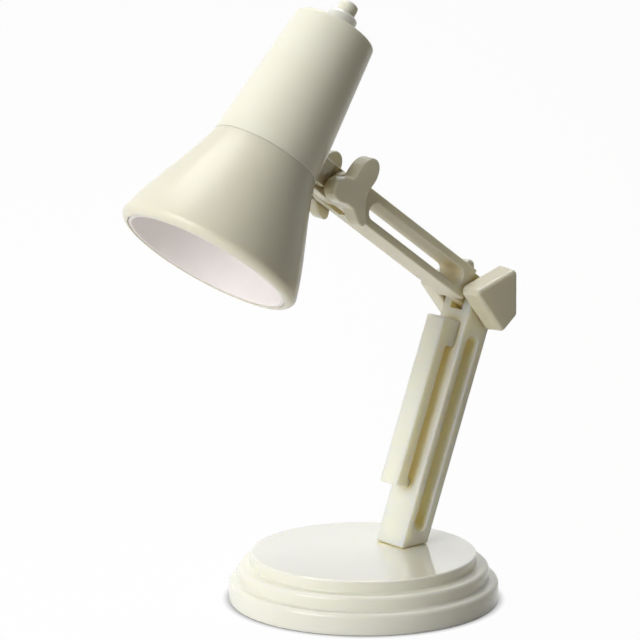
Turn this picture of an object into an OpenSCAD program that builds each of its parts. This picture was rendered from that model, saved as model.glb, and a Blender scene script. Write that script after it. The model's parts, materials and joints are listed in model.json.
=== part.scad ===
// Clip-on book light shaped as a miniature balanced-arm desk lamp.
// Frame: origin on the floor at the middle of the foot, +Z up, front (where the shade points) is -Y.
// Lengths are millimetres, angles are degrees.

/* [Base] */
// Radius of the lowest step of the foot
base_r = 25; // [24.4:0.1:28]
// Radius of the middle step
step2_r = 23.2; // [22.9:0.1:24.2]
// Radius of the top step
step1_r = 20.9; // [20:0.1:22.4]
// Height of the lowest step
step3_h = 4; // [3.4:0.1:5.5]
// Height at the top of the middle step
step2_h = 6.7; // [6.2:0.05:8.4]
// Whole height of the foot
base_h = 9; // [8.5:0.1:12]
// Rounding of the upper edges of the steps
step_edge = 0.8; // [0.3:0.1:1.2]

/* [Lower arm] */
// Distance of the arm's foot behind the middle of the base
foot_y = 9.1; // [6:0.1:11]
// Angle by which the lower arm leans back
lean = 20.8; // [10:0.1:30]
// Length from the base's top to the elbow pivot
lower_len = 48.5; // [46:0.1:60]
// Width of the lower arm from side to side
lower_w = 7.5; // [6.9:0.1:7.5]
// Depth of the lower arm from front to back
lower_d = 6.05; // [5.5:0.05:8]
// Width of the slot in the lower arm
lower_slot = 2.7; // [2:0.1:3.4]

/* [Spring bar] */
// Width of the bar in front of the lower arm
bar_w = 4.8; // [3:0.1:6]
// Thickness of the bar
bar_t = 2.45; // [1.5:0.05:3]
// Gap between the bar and the arm
bar_gap = 1.95; // [1:0.05:3]
// Height of the bar's lower end along the arm
bar_low = 10; // [7:0.1:15]
// Height of the bar's upper end along the arm
bar_high = 42.6; // [36:0.1:43]

/* [Upper arm] */
// Rise of the upper arm above the horizontal
rise = 35.2; // [20:0.1:45]
// Length between the elbow and head pivots
upper_len = 40.5; // [36:0.1:55]
// Width of the upper arm from side to side
upper_w = 6.9; // [5:0.1:6.9]
// Depth of the upper arm
upper_d = 6.25; // [5:0.05:7]
// Width of the long slot
upper_slot = 3.2; // [2:0.1:4]

/* [Joints] */
// Thickness of each elbow plate
elbow_plate_t = 4.6; // [2.6:0.1:5]
// Size of an elbow plate's outer face against its inner one
elbow_taper = 0.94; // [0.7:0.01:1]
// Thickness of each head plate
head_plate_t = 3.1; // [1.6:0.1:3.4]
// Size of a head plate's outer face against its inner one
head_taper = 0.94; // [0.7:0.01:1]
// Radius of both pivot pins
pin_r = 1.5; // [1.2:0.05:1.8]
// Thickness of the tongue in each fork
tongue_t = 2.5; // [2:0.1:3]

/* [Head] */
// Tilt of the head's axis from the vertical
tilt = 37.2; // [20:0.1:60]
// Distance from the head pivot to the head's axis
head_off = 17.3; // [16:0.05:22]
// Position of the seam along the axis, measured from the pivot
seam_t = -3.9; // [-4.6:0.1:-2.6]
// Radius of the housing at the seam
seam_r = 10.2; // [9.8:0.05:10.6]
// Radius of the housing at its top
top_r = 7.7; // [7.6:0.05:9]
// Length of the housing
house_l = 26.8; // [26.3:0.1:30]
// Radius of the shade at its rim
rim_r = 17.2; // [15:0.1:20]
// Length of the shade below the seam
shade_l = 22.1; // [20:0.1:26]
// Rounding of the rim's outer edge
lip_r = 1.6; // [1:0.1:2]
// Wall thickness of the head's shells
wall = 1.2; // [0.9:0.05:1.3]

/* [Clip] */
// Half width of the clip's jaw
jaw_hw = 7; // [5:0.1:8]
// Distance of the jaw's tip in front of the middle of the base
jaw_tip = 21.5; // [18:0.1:22]
// Distance of the jaw's hinge behind the middle of the base
hinge_y = 16; // [15.8:0.1:16.2]

/* [Hidden] */
$fn = 72;

elbow_y = foot_y + lower_len * sin(lean);
elbow_z = base_h + lower_len * cos(lean);
head_y = elbow_y - upper_len * cos(rise);
head_z = elbow_z + upper_len * sin(rise);
run_gap = 0.05;
press_gap = 0.02;

// Foot: rim, bottom plate, hollow and screws
rim_wall = 1.55;
plate_h = 3;
plate_r = base_r - rim_wall - 0.1;
cavity_r = 19;
cavity_top = 7;
weight_r = 18.6;
weight_top = 6.5;
screw_ring = 20.6;
screw_r = 0.9;
screw_head_r = 1.8;
screw_head_z = [0.4, 1.5];
screw_tip_z = 5.4;

// Clip: housing box on the bottom plate, hinge, jaw and spring
box_hw = 8.2;
box_y = [13, 20.3];
box_z = [1, 4.8];
room_hw = 7.4;
room_y = [13.9, 19.8];
room_top = 4.1;
hinge_z = 2;
hinge_r = 1.55;
barrel_hw = 3;
clip_pin_r = 1;
clip_pin_hw = 6.5;
jaw_z = [0.15, 1.65];
jaw_pocket = 2.05;
spring_t = 0.24;

// Swivel of the lower arm
foot_gap = 0.1;
spigot_r = 2.6;
spigot_z = 6.9;
swivel_r = 1.2;
washer_t = 0.26;
washer_r = 2.9;

// Slots and ends of the arms
lower_slot_z = [3, lower_len - 7.7];
upper_slot_end = [6.9, 6.6];
end_len = 4.6;
prong_len = 3.6;
bar_foot = 5;
bar_stub = [1, 2];
plate_x = 3.8;
elbow_reach = plate_x + 2.2;
head_reach = plate_x + 1.3;
eye_r = 3.1;
cream = [0.9, 0.89, 0.8];
steel = [0.6, 0.61, 0.63];
brass = [0.78, 0.65, 0.35];
white = [0.93, 0.93, 0.94];
dark = [0.12, 0.12, 0.13];

// Frames that the moving pieces are drawn in

module at_foot() {
    translate([0, foot_y, base_h]) rotate([-lean, 0, 0]) children();
}

module at_hinge() {
    translate([0, hinge_y, hinge_z]) children();
}

module at_elbow() {
    translate([0, elbow_y, elbow_z]) children();
}

module along_upper() {
    at_elbow() rotate([90 - rise, 0, 0]) children();
}

module at_head() {
    translate([0, head_y, head_z]) rotate([-tilt, 0, 0]) children();
}

module on_axis() {
    at_head() translate([0, -head_off, seam_t]) children();
}

// Helpers

// Draws a flat outline given in [y, z] as a plate of thickness t that starts at x
module side_plate(x, t, taper = 1) {
    translate([x, 0, 0]) rotate([90, 0, 90]) linear_extrude(t, scale = taper) children();
}

module rod_x(r, x0, x1) {
    translate([x0, 0, 0]) rotate([0, 90, 0]) cylinder(r = r, h = x1 - x0);
}

module rod_z(r, z0, z1) {
    translate([0, 0, z0]) cylinder(r = r, h = z1 - z0);
}

module block(x0, x1, y0, y1, z0, z1) {
    translate([x0, y0, z0]) cube([x1 - x0, y1 - y0, z1 - z0]);
}

module rounded_disc(r, h, e) {
    rotate_extrude() {
        square([r - e, h]);
        square([r, h - e]);
        translate([r - e, h - e]) circle(e);
    }
}

// Slot right through along X: w wide in y, from z0 to z1, with round ends
module slot_x(w, z0, z1, half) {
    block(-half, half, -w / 2, w / 2, z0 + w / 2, z1 - w / 2);
    translate([0, 0, z0 + w / 2]) rod_x(w / 2, -half, half);
    translate([0, 0, z1 - w / 2]) rod_x(w / 2, -half, half);
}

// Base

module screw_places() {
    for (a = [45, 135, 225, 315]) rotate(a) translate([screw_ring, 0, 0]) children();
}

module base_shell() {
    color(cream) {
        difference() {
            union() {
                rounded_disc(base_r, step3_h, step_edge);
                rounded_disc(step2_r, step2_h, step_edge);
                rounded_disc(step1_r, base_h, step_edge);
            }
            rod_z(base_r - rim_wall, -1, plate_h);
            rod_z(cavity_r, plate_h - 0.5, cavity_top);
            block(-box_hw - 0.3, box_hw + 0.3, box_y[0] - 0.4, box_y[1] + 0.3,
                plate_h - 0.5, box_z[1] + 0.3);
            translate([0, foot_y, 0]) rod_z(spigot_r + run_gap, cavity_top - 1, base_h + 1);
            screw_places() rod_z(screw_r + press_gap, 1, screw_tip_z + 0.2);
        }
        for (a = [-59, 59]) translate([0, foot_y, 0]) rotate(a) translate([0, -5.3, 0])
            rod_z(0.6, 6, cavity_top + 0.5);
    }
}

module base_plate() {
    pocket = jaw_hw + 0.4;
    color(cream) difference() {
        union() {
            difference() {
                rod_z(plate_r, 0, plate_h);
                screw_places() rod_z(screw_r + 0.15, -1, 5);
                screw_places() rod_z(screw_head_r + 0.15, -1, screw_head_z[1]);
            }
            block(-box_hw, box_hw, box_y[0], box_y[1], box_z[0], box_z[1]);
        }
        block(-pocket, pocket, -jaw_tip - 0.5 + pocket, room_y[0] + 0.1, -1, jaw_pocket);
        translate([0, -jaw_tip - 0.5 + pocket, 0]) rod_z(pocket, -1, jaw_pocket);
        difference() {
            block(-room_hw, room_hw, room_y[0], room_y[1], -1, room_top);
            for (s = [-1, 1]) block(s * 5 - 1.7, s * 5 + 1.7, hinge_y - 1.4, hinge_y + 1.4, 0.5, 5);
        }
        at_hinge() rod_x(clip_pin_r + press_gap, -clip_pin_hw - 0.1, clip_pin_hw + 0.1);
    }
}

module base_weight() {
    color(steel) difference() {
        rod_z(weight_r, plate_h, weight_top);
        translate([0, foot_y, 0]) rod_z(6.8, 0, base_h);
        block(-box_hw - 0.4, box_hw + 0.4, box_y[0] - 0.4, base_r, 0, base_h);
    }
}

module base_screws() {
    color(steel) screw_places() difference() {
        union() {
            rod_z(screw_head_r, screw_head_z[0], screw_head_z[1]);
            rod_z(screw_r, screw_head_z[1] - 0.1, screw_tip_z);
        }
        block(-1.2, 1.2, -0.2, 0.2, 0, screw_head_z[0] + 0.4);
    }
}

module clip_jaw() {
    color(cream) difference() {
        union() {
            block(-jaw_hw, jaw_hw, -jaw_tip + jaw_hw, room_y[0] - 0.3, jaw_z[0], jaw_z[1]);
            translate([0, -jaw_tip + jaw_hw, 0]) rod_z(jaw_hw, jaw_z[0], jaw_z[1]);
            block(-barrel_hw, barrel_hw, box_y[0], hinge_y + 3, jaw_z[0], jaw_z[1]);
            at_hinge() rod_x(hinge_r, -barrel_hw, barrel_hw);
        }
        at_hinge() rod_x(clip_pin_r + run_gap, -barrel_hw - 1, barrel_hw + 1);
    }
}

module jaw_pad() {
    color(dark) block(-5, 5, -17, -8, jaw_z[1], jaw_pocket - 0.05);
}

module clip_pin() {
    color(steel) at_hinge() rod_x(clip_pin_r, -clip_pin_hw, clip_pin_hw);
}

module clip_spring() {
    top = room_top;
    toe = jaw_z[1] + 0.03;
    rear = room_y[1] - 0.2;
    color(steel) side_plate(-2.4, 4.8)
        polygon([[room_y[0] + 0.5, top], [room_y[0] + 0.5, top - spring_t], [rear - 0.35, top - spring_t],
            [rear - 1.7, toe + 0.25], [rear - 1.7, toe], [rear - 1.3, toe],
            [rear, top - 1.5 * spring_t], [rear, top]]);
}

// Lower arm

module swivel_washer() {
    color(brass) difference() {
        translate([0, foot_y, 0]) {
            rod_z(4.2, spigot_z - 0.6, spigot_z);
            block(-0.6, 0.6, -6, 0, spigot_z - 0.6, spigot_z);
        }
        translate([0, foot_y, 0]) rod_z(swivel_r + 0.07, 6, cavity_top + 0.2);
    }
}

module swivel_screw() {
    color(steel) translate([0, foot_y, 0]) difference() {
        union() {
            rod_z(2.3, spigot_z - 1.9, spigot_z - 0.6);
            rod_z(swivel_r, spigot_z - 0.7, spigot_z + 5.5);
        }
        block(-1.5, 1.5, -0.25, 0.25, 4, spigot_z - 1.4);
    }
}

module lower_arm() {
    half = lower_w / 2;
    prong = tongue_t / 2 + 0.4;
    color(cream) difference() {
        union() {
            difference() {
                at_foot() block(-half, half, -lower_d / 2, lower_d / 2, -6, lower_len);
                block(-20, 20, -20, 40, -10, base_h + foot_gap);
            }
            at_foot() translate([0, 0, lower_len]) rod_x(lower_d / 2, -half, half);
            translate([0, foot_y, 0]) rod_z(spigot_r, spigot_z, base_h + 1);
        }
        at_foot() slot_x(lower_slot, lower_slot_z[0], lower_slot_z[1], lower_w);
        at_foot() block(-prong, prong, -5, 5, lower_len - prong_len, lower_len + prong_len);
        at_foot() translate([0, 0, lower_len]) rod_x(pin_r + press_gap, -lower_w, lower_w);
        translate([0, foot_y, 0]) rod_z(swivel_r + press_gap, 6, spigot_z + 5.7);
    }
}

module spring_bar() {
    face = -lower_d / 2;
    color(cream) at_foot() {
        block(-bar_w / 2, bar_w / 2, face - bar_gap - bar_t, face - bar_gap, bar_low, bar_high);
        block(-bar_w / 2, bar_w / 2, face - bar_gap - 0.2, face, bar_high - bar_foot, bar_high);
        block(-bar_stub[0], bar_stub[0], face - bar_gap - 0.2, face, bar_low, bar_low + bar_stub[1]);
    }
}

// Elbow

module elbow_pin() {
    color(steel) at_elbow() rod_x(pin_r, -elbow_reach, elbow_reach);
}

// Two thin washers whose middles lie x to either side
module pivot_washers(x) {
    for (s = [-1, 1]) difference() {
        rod_x(washer_r, s * x - washer_t / 2, s * x + washer_t / 2);
        rod_x(pin_r + 0.08, -5, 5);
    }
}

module elbow_washers() {
    color(dark) at_elbow() pivot_washers(tongue_t / 2 + 0.2);
}

// Points of an arc of radius r about c from angle a to angle b
function arc(c, r, a, b, n = 6) = [for (i = [0:n]) let (t = a + (b - a) * i / n) c + r * [cos(t), sin(t)]];

// Rounded corners of a counter-clockwise outline: each corner is replaced by an arc of radius r
function rounded(p, r) = [for (i = [0:len(p) - 1]) let (
    q = p[i],
    u = p[(i + len(p) - 1) % len(p)] - q,
    v = p[(i + 1) % len(p)] - q,
    un = u / norm(u),
    vn = v / norm(v),
    half = acos(un * vn) / 2,
    mid = (un + vn) / norm(un + vn),
    c = q + mid * r / sin(half),
    a = atan2(-un[0], un[1]),
    turn = 180 - 2 * half)
    each arc(c, r, a + 180, a + 180 + turn)];

elbow_outline = rounded([[4.3, -3.5], [4.2, 6.1], [-7.1, 2.4], [0.2, -6.8]], 1);

module elbow_plate() {
    difference() {
        side_plate(plate_x, elbow_plate_t, elbow_taper) polygon(elbow_outline);
        rod_x(pin_r + press_gap, 0, elbow_reach);
    }
}

module elbow_plate_near() {
    color(cream) at_elbow() elbow_plate();
}

module elbow_plate_far() {
    color(cream) at_elbow() mirror([1, 0, 0]) elbow_plate();
}

// Upper arm

module upper_arm() {
    half = upper_w / 2;
    fork = tongue_t / 2 + 0.12;
    color(cream) along_upper() difference() {
        union() {
            block(-half, half, -upper_d / 2, upper_d / 2, 0, upper_len);
            rod_x(upper_d / 2, -half, half);
            translate([0, 0, upper_len]) rod_x(upper_d / 2, -half, half);
        }
        slot_x(upper_slot, upper_slot_end[0], upper_len - upper_slot_end[1], upper_w);
        for (s = [0, 1]) mirror([s, 0, 0]) block(tongue_t / 2, upper_w, -5, 5, -5, end_len);
        block(-fork, fork, -5, 5, upper_len - end_len, upper_len + 5);
        rod_x(pin_r + run_gap, -upper_w, upper_w);
        translate([0, 0, upper_len]) rod_x(pin_r + run_gap, -upper_w, upper_w);
    }
}

// Head joint

module head_pin() {
    color(steel) at_head() rod_x(pin_r, -head_reach, head_reach);
}

module head_washers() {
    color(dark) at_head() pivot_washers(plate_x - 0.18);
}

// Three-lobed outline: about its own middle, the radius swells to each lobe's length along a raised cosine
lobe_dir = [165, 48, 285];
lobe_len = [5.4, 7.5, 6.6];
lobe_power = [0.8, 1.2, 3.2];
waist_r = 2.9;
lobe_mid = [-0.8, 0];
function near_angle(a, b) = abs((a - b + 540) % 360 - 180);
function swell(a, i) = let (d = near_angle(a, lobe_dir[i]))
    d > 60 ? 0 : (lobe_len[i] - waist_r) * pow((1 + cos(d * 3)) / 2, lobe_power[i]);
lobed_outline = [for (a = [0:5:355]) let (r = waist_r + max(swell(a, 0), swell(a, 1), swell(a, 2)))
    lobe_mid + r * [cos(a), sin(a)]];

module head_plate() {
    difference() {
        side_plate(plate_x, head_plate_t, head_taper) polygon(lobed_outline);
        rod_x(pin_r + press_gap, 0, head_reach);
    }
}

module head_plate_near() {
    color(cream) translate([0, head_y, head_z]) head_plate();
}

module head_plate_far() {
    color(cream) translate([0, head_y, head_z]) mirror([1, 0, 0]) head_plate();
}

// Head

neck_r = 7.95;
cells_t = 4.05;
button_r = 1.8;
collar_r = 2.85;
collar_h = 3;

module lamp_housing() {
    edge = 0.8;
    color(cream) difference() {
        union() {
            on_axis() rotate_extrude() polygon(concat(
                [[0, 0], [seam_r - 0.15, 0], [seam_r, 0.15]],
                arc([top_r - edge, house_l - edge - 0.2], edge, 5, 80),
                [[0, house_l]]));
            at_head() {
                rod_x(eye_r, -tongue_t / 2, tongue_t / 2);
                block(-tongue_t / 2, tongue_t / 2, -5, 0, -eye_r, eye_r);
                block(-2.8, 2.8, -head_off + 6, -4.4, -2.3, 2.5);
            }
        }
        on_axis() rotate_extrude() polygon([[0, -1], [neck_r + run_gap, -1], [neck_r + run_gap, 1.6],
            [neck_r + 0.55, 1.6], [neck_r + 0.55, 2.7], [neck_r + run_gap, 2.7], [neck_r + run_gap, 3.4],
            [top_r - wall, house_l - 1.3], [0, house_l - 1.3]]);
        on_axis() rod_z(2.45, house_l - 2, house_l + 2);
        at_head() rod_x(pin_r + press_gap, -tongue_t, tongue_t);
    }
}

module battery_sleeve() {
    color(dark) on_axis() difference() {
        rod_z(6.4, cells_t - 0.1, cells_t + 17.1);
        rod_z(5.95, cells_t - 1, cells_t + 16.5);
        rod_z(1.2, cells_t, cells_t + 18);
    }
}

module battery_cells() {
    color(steel) on_axis() for (i = [0:2]) {
        rod_z(5.8, cells_t + 5.4 * i, cells_t + 4.6 + 5.4 * i);
        rod_z(5.1, cells_t + 4.4 + 5.4 * i, cells_t + 5.37 + 5.4 * i);
    }
}

module contact_plates() {
    color(brass) on_axis() {
        rod_z(4.5, cells_t - 0.3, cells_t);
        rod_z(4.5, cells_t + 16.2, cells_t + 16.5);
    }
}

module switch_body() {
    color(dark) on_axis() {
        block(-3, 3, -3, 3, cells_t + 17.1, cells_t + 19.2);
        rod_z(0.9, cells_t + 19.1, cells_t + 19.5);
    }
}

module led_board() {
    color([0.1, 0.35, 0.2]) on_axis() rod_z(6.6, cells_t - 1.1, cells_t - 0.3);
}

module led() {
    color(white) on_axis() translate([0, 0, cells_t - 1.6]) {
        rotate_extrude() {
            translate([0, -5.8]) square([2.5, 5]);
            translate([0, -1.2]) square([2.9, 1]);
            intersection() {
                translate([0, -5.8]) circle(2.5);
                translate([0, -9]) square([3, 3.3]);
            }
        }
        for (s = [-1, 1]) translate([s * 1.27, 0, 0]) rod_z(0.25, -0.6, 0.5);
    }
}

module button_collar() {
    color(cream) on_axis() difference() {
        union() {
            rod_z(2.43, house_l - 1.3, house_l + 0.2);
            translate([0, 0, house_l]) rounded_disc(collar_r, collar_h, 0.6);
        }
        rod_z(button_r + run_gap, house_l - 3, house_l + 9);
    }
}

module switch_button() {
    top = house_l + 5.4;
    color(cream) on_axis() {
        rod_z(2.3, house_l - 2, house_l - 1.4);
        translate([0, 0, house_l - 1.5]) rounded_disc(button_r, top - house_l + 1.5, 0.7);
    }
}

// Radius of the shade's bell curve at a distance below the seam
lip_t = shade_l - lip_r;
function bell(d) = let (k = d / lip_t, e = k * k * (3 - 2 * k))
    seam_r - 0.1 + (rim_r - seam_r + 0.1) * (0.72 * k + 0.28 * e);
function thick(d) = wall + 0.5 * d / lip_t;
bell_n = 12;

module shade() {
    inner = [for (i = [bell_n:-1:0]) let (d = lip_t * i / bell_n) [bell(d) - thick(d), -0.9 - 0.96 * d]];
    color(cream) on_axis() {
        rotate_extrude() polygon(concat(
            [[6.9, 3], [neck_r, 3], [neck_r, -0.12]],
            [for (i = [0:bell_n - 1]) let (d = lip_t * i / bell_n) [bell(d), -0.12 - d]],
            arc([rim_r - lip_r, -lip_t], lip_r, 0, -90, 8),
            inner,
            [[6.9, -0.9]]));
        for (a = [0, 180]) rotate(a) intersection() {
            difference() {
                rod_z(neck_r + 0.4, 1.8, 2.5);
                rod_z(neck_r - 0.3, 1, 3);
            }
            block(0, 10, -2.5, 2.5, 0, 4);
        }
    }
}

module reflector() {
    skin = 0.6;
    gap = 0.2;
    outer = [for (i = [1:bell_n]) let (d = lip_t * i / bell_n) [bell(d) - thick(d) - gap, -1.25 - d]];
    inner = [for (i = [bell_n - 1:-1:0]) outer[i] - [skin, 0]];
    color(white) on_axis() rotate_extrude() polygon(concat(
        [[3.2, -1.35], [bell(0) - wall - gap - 0.1, -1.35]], outer, inner, [[3.2, -2.05]]));
}

base_shell();
base_plate();
base_weight();
base_screws();
clip_jaw();
jaw_pad();
clip_pin();
clip_spring();
lower_arm();
spring_bar();
swivel_washer();
swivel_screw();
elbow_pin();
elbow_washers();
elbow_plate_near();
elbow_plate_far();
upper_arm();
lamp_housing();
head_pin();
head_washers();
head_plate_near();
head_plate_far();
battery_sleeve();
battery_cells();
contact_plates();
switch_body();
led_board();
led();
button_collar();
switch_button();
shade();
reflector();
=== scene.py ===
"""Looks of a clip-on book light: a miniature balanced-arm lamp in glossy ivory plastic.

Every visible moulding is a surface worked out on whole arrays, in millimetres in its own
frame, and put in place in metres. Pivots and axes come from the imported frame's joints.
"""
import json
import logging
import math
from dataclasses import dataclass
from enum import Enum
from typing import ClassVar, Optional, Sequence

import bmesh
import bpy
import numpy as np
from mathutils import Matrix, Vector


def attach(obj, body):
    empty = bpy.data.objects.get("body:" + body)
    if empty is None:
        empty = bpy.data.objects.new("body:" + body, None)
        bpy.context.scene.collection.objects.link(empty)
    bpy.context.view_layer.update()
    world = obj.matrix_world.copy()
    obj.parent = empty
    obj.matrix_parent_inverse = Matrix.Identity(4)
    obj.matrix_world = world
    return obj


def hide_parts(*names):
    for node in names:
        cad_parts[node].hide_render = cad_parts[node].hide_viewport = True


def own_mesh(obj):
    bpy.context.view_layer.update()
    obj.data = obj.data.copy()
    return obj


Array = np.ndarray
Span = tuple[float, float]
Triple = tuple[float, float, float]
Colour = Triple
Piece = bpy.types.Object
Tree = bpy.types.NodeTree
Socket = bpy.types.NodeSocket
MM = 0.001
IMAGE_PX = 640

log = logging.getLogger("book_light")
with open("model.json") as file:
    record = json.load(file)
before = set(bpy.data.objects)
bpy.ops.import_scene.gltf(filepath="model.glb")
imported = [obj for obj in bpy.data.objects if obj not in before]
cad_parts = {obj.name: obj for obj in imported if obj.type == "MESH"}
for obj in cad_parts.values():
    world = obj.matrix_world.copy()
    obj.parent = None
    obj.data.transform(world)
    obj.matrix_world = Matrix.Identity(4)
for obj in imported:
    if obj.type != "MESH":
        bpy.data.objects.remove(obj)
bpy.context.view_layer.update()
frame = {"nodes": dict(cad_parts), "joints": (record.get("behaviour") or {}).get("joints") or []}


class Body(Enum):
    """Moving bodies that carry new pieces."""

    BASE = "base"
    LOWER_ARM = "lower_arm"
    UPPER_ARM = "upper_arm"
    HEAD = "head"
    BUTTON = "button"
    SHADE = "shade"


class Slot(Enum):
    """Material slots of the new pieces."""

    CREAM = "cream_plastic"
    WHITE = "white_plastic"
    STEEL = "steel"


class Blend(Enum):
    """Ways to blend a tool solid into a piece."""

    JOIN = "UNION"
    CUT = "DIFFERENCE"


# Shader nodes

# Socket numbers of a Mix node for colours
MIX_A, MIX_B, MIX_RESULT = 6, 7, 2


def add_node(tree: Tree, kind: str, values: Optional[dict] = None) -> bpy.types.Node:
    """Adds a node and sets its sockets.

    Args:
        tree: Node tree to add to.
        kind: Type of the node.
        values: Values of input sockets, by name or number.

    Returns:
        The node.
    """
    node = tree.nodes.new(kind)
    for socket, value in (values or {}).items():
        node.inputs[socket].default_value = value
    return node


def ranged(tree: Tree, value: Socket, source: Span, target: Span = (0.0, 1.0)) -> Socket:
    """Maps one range of a value onto another, clamped at both ends.

    Args:
        tree: Node tree to add to.
        value: Socket to read.
        source: Ends of the range that is read.
        target: Ends of the range that is given.

    Returns:
        The mapped value.
    """
    ends = {"From Min": source[0], "From Max": source[1], "To Min": target[0], "To Max": target[1]}
    node = add_node(tree, "ShaderNodeMapRange", ends)
    tree.links.new(value, node.inputs["Value"])
    return node.outputs["Result"]


def ramp(tree: Tree, value: Socket, colours: tuple[Colour, Colour], ends: Span = (0.0, 1.0)) -> Socket:
    """Turns a value into a colour between two.

    Args:
        tree: Node tree to add to.
        value: Socket to read.
        colours: Linear colours at the low and at the high end.
        ends: Values at those ends.

    Returns:
        The colour.
    """
    node = add_node(tree, "ShaderNodeValToRGB")
    for number, (end, colour) in enumerate(zip(ends, colours)):
        node.color_ramp.elements[number].position = end
        node.color_ramp.elements[number].color = (*colour, 1.0)
    tree.links.new(value, node.inputs["Fac"])
    return node.outputs["Color"]


class Nodes:
    """Small builder of one Principled material on Object coordinates.

    Attributes:
        PATTERN_ENDS: Values of a pattern between which roughness changes.
        NOOK_ENDS: Open share of the surroundings in a full nook and out of it, between which
            painted shade fades in.
        NOOK_REACH: How near the walls of a nook are for the painted shade, in millimetres.
        RISE: Height over which a value rises, in millimetres.
        BUMP: Strength of the bumps.
    """

    PATTERN_ENDS: ClassVar[Span] = (0.3, 0.7)
    NOOK_ENDS: ClassVar[Span] = (0.25, 0.75)
    NOOK_REACH: ClassVar[float] = 4.0
    RISE: ClassVar[float] = 0.1
    BUMP: ClassVar[float] = 0.6

    def __init__(self, label: str) -> None:
        """Makes an empty material.

        Args:
            label: Name of the material.
        """
        self.material = bpy.data.materials.new(label)
        self.material.use_nodes = True
        self.tree = self.material.node_tree
        self.shader = self.tree.nodes["Principled BSDF"]
        self.place = add_node(self.tree, "ShaderNodeTexCoord").outputs["Object"]

    def set(self, socket: str, value: object) -> None:
        """Sets a constant on a socket of the shader."""
        self.shader.inputs[socket].default_value = value

    def drive(self, socket: str, source: Socket) -> None:
        """Links a value or a colour to a socket of the shader."""
        self.tree.links.new(source, self.shader.inputs[socket])

    def noise(self, waves: float, detail: float, stretch: Optional[Triple] = None) -> Socket:
        """Adds a noise pattern.

        Args:
            waves: Waves per metre.
            detail: Number of finer octaves.
            stretch: Factors on the coordinates, or None for an even pattern.

        Returns:
            The pattern's value socket.
        """
        texture = add_node(self.tree, "ShaderNodeTexNoise", {"Scale": waves, "Detail": detail})
        source = self.place
        if stretch is not None:
            mapping = add_node(self.tree, "ShaderNodeMapping", {"Scale": stretch})
            self.tree.links.new(source, mapping.inputs["Vector"])
            source = mapping.outputs["Vector"]
        self.tree.links.new(source, texture.inputs["Vector"])
        return texture.outputs["Fac"]

    def paint_nook_shade(self, colour: Socket, tint: Colour) -> Socket:
        """Paints shade into nooks: turns a colour to a tint where other surfaces stand close by.

        Args:
            colour: Colour away from them.
            tint: Linear colour of the painted shade in the deepest nooks.

        Returns:
            The mixed colour.
        """
        # Painted shade: the colour turns to the tint as occlusion by nearby surfaces grows
        near = add_node(self.tree, "ShaderNodeAmbientOcclusion", {"Distance": self.NOOK_REACH * MM})
        mix = self.tree.nodes.new("ShaderNodeMix")
        mix.data_type = "RGBA"
        mix.inputs[MIX_A].default_value = (*tint, 1.0)
        self.tree.links.new(ranged(self.tree, near.outputs["AO"], self.NOOK_ENDS), mix.inputs["Factor"])
        self.tree.links.new(colour, mix.inputs[MIX_B])
        return mix.outputs[MIX_RESULT]

    def vary(self, socket: str, pattern: Socket, middle: float, spread: float) -> None:
        """Lets a value of the shader follow a pattern, by the spread to either side of its middle."""
        self.drive(socket, ranged(self.tree, pattern, self.PATTERN_ENDS, (middle - spread, middle + spread)))

    def rise(self, socket: str, height: float, most: float) -> None:
        """Lets a value of the shader rise from 0 to its most over a short stretch of height.

        Args:
            socket: Socket of the shader.
            height: Where the rise starts, in metres.
            most: Value above it.
        """
        split = add_node(self.tree, "ShaderNodeSeparateXYZ")
        self.tree.links.new(self.place, split.inputs["Vector"])
        stretch = (height, height + self.RISE * MM)
        self.drive(socket, ranged(self.tree, split.outputs["Z"], stretch, (0.0, most)))

    def bump(self, pattern: Socket, height: float) -> None:
        """Raises the skin by a pattern.

        Args:
            pattern: Value socket to read.
            height: Millimetres from its lowest to its highest.
        """
        node = add_node(self.tree, "ShaderNodeBump", {"Strength": self.BUMP, "Distance": height * MM})
        self.tree.links.new(pattern, node.inputs["Height"])
        self.drive("Normal", node.outputs["Normal"])


# Finishes


def linear(red: float, green: float, blue: float) -> Colour:
    """Turns an 8-bit display colour into linear light, by the usual display curve.

    Args:
        red: Red from 0 to 255.
        green: Green from 0 to 255.
        blue: Blue from 0 to 255.

    Returns:
        The colour as linear values from 0 to 1.
    """
    share = np.array([red, green, blue]) / 255.0
    low = share / 12.92
    high = ((share + 0.055) / 1.055) ** 2.4
    return tuple(float(v) for v in np.where(share <= 0.04045, low, high))


@dataclass(frozen=True)
class Finish:
    """A named finish in two close colours.

    Attributes:
        label: Name of the material.
        light: Linear colour of its lighter marks.
        deep: Linear colour of its deeper marks.
    """

    label: str
    light: Colour
    deep: Colour

    def material(self) -> bpy.types.Material:
        """Returns the finish as a node material, made once.

        Returns:
            The material.
        """
        known = bpy.data.materials.get(self.label)
        if known:
            return known
        nodes = Nodes(self.label)
        self.paint(nodes)
        return nodes.material

    def paint(self, nodes: Nodes) -> None:
        """Sets up the shader of a new material."""
        raise NotImplementedError

    def marks(self, nodes: Nodes, pattern: Socket, ends: Span) -> Socket:
        """Returns the colour that goes from deep to light between two values of a pattern."""
        return ramp(nodes.tree, pattern, (self.deep, self.light), ends)


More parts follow.
